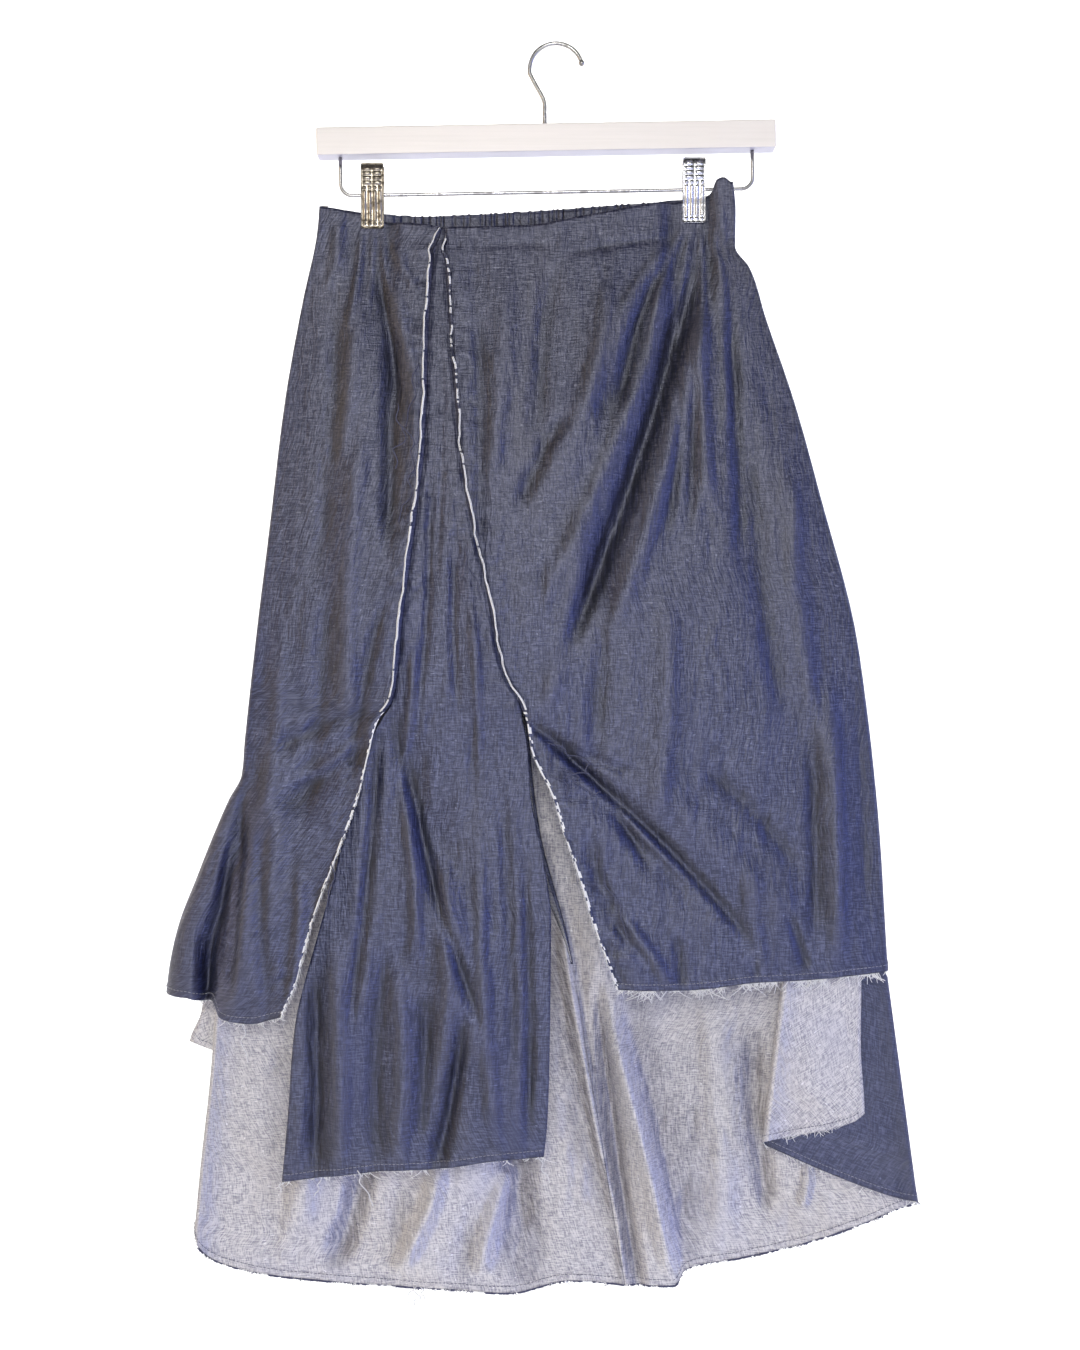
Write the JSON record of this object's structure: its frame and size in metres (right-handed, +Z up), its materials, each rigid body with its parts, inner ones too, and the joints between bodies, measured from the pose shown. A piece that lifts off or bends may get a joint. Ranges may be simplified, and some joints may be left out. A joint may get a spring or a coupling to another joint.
{
  "type": "asymmetric skirt on clip hanger",
  "caption": "Asymmetric high-low skirt of light chambray with raw seams and front slits, hung by its waist from a wooden bar hanger with metal clips.",
  "frame": {"origin": "inner crown of the hanger's hook, where it sits on a rail", "axes": "+Z up, -Y the way the skirt's front faces, +X to the viewer's right when the front is seen"},
  "size_m": [0.5914, 0.0695, 0.9866],
  "materials": {
    "chambray": "light cotton chambray, heathered slate-indigo face with a pale grey wrong side, matt with a faint sheen on the folds",
    "raw_edge": "raw cut edge of the same cloth, ivory white and slightly frayed",
    "ivory_paint": "smooth satin ivory paint over wood",
    "hook_wire": "bright plated steel wire",
    "clip_metal": "nickel-plated pressed sheet steel, slightly worn"
  },
  "bodies": {
    "root": {"skirt_front_left": "chambray", "skirt_front_centre": "chambray", "skirt_front_right": "chambray", "skirt_back_left": "chambray", "skirt_back_right": "chambray", "waist_casing": "chambray", "seam_left": "raw_edge", "seam_right": "raw_edge", "hanger_bar": "ivory_paint", "hanger_hook": "hook_wire", "hanger_rod": "hook_wire", "clip_left_front": "clip_metal", "clip_left_back": "clip_metal", "clip_right_front": "clip_metal", "clip_right_back": "clip_metal"}
  },
  "joints": []
}
